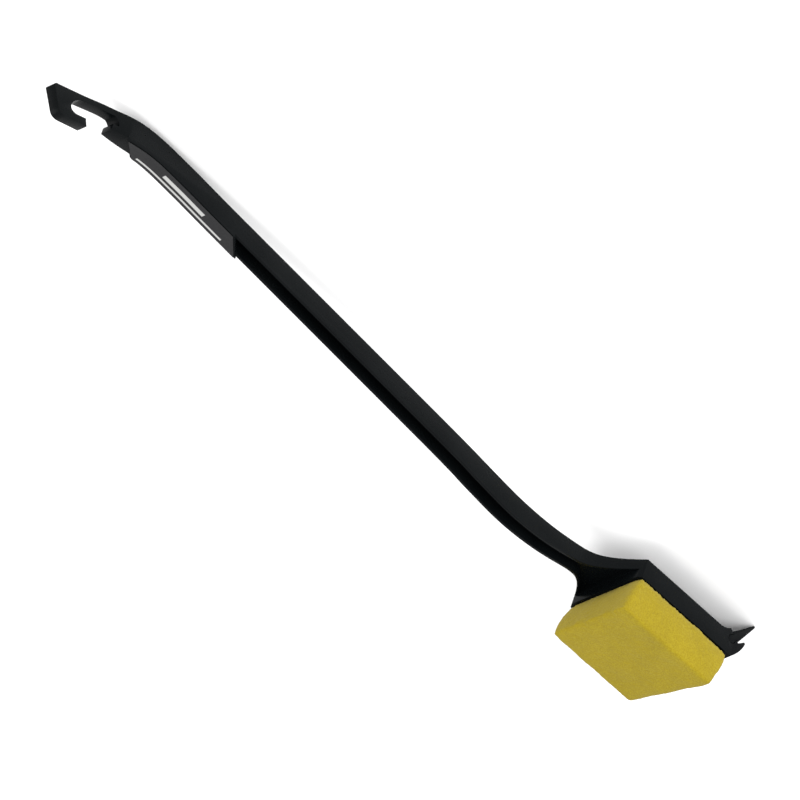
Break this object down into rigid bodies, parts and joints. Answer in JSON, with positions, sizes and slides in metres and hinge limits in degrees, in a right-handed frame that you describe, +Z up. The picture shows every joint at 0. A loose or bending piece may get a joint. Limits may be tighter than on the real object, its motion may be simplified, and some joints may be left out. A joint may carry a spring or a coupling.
{
  "type": "long-handled aquarium sponge scraper",
  "caption": "Long-handled aquarium glass scraper with a hanging hook, a foam pad in a tray head and a slide-in scraper blade at the tip.",
  "frame": {"origin": "middle of the tool's footprint, on the surface it lies on", "axes": "+X along the tool from the hook to the blade tip, +Z up out of the foam pad's cleaning face, +Y across the head"},
  "size_m": [0.4522, 0.0474, 0.0463],
  "materials": {
    "handle_plastic": "satin",
    "blade_plastic": "satin",
    "foam": "matte",
    "hook_tape": "matte",
    "label": "matte"
  },
  "bodies": {
    "handle": {"handle_frame": "handle_plastic", "sponge_tape": "hook_tape", "handle_label": "label"},
    "sponge": {"sponge_pad": "foam"},
    "blade": {"scraper_blade": "blade_plastic"}
  },
  "joints": [
    {"name": "sponge_pull", "type": "slide", "parent": "handle", "child": "sponge", "axis": [0, 0, 1], "range_m": [0, 0.03]},
    {"name": "blade_slide", "type": "slide", "parent": "handle", "child": "blade", "axis": [0, 1, 0], "range_m": [0, 0.05]}
  ]
}
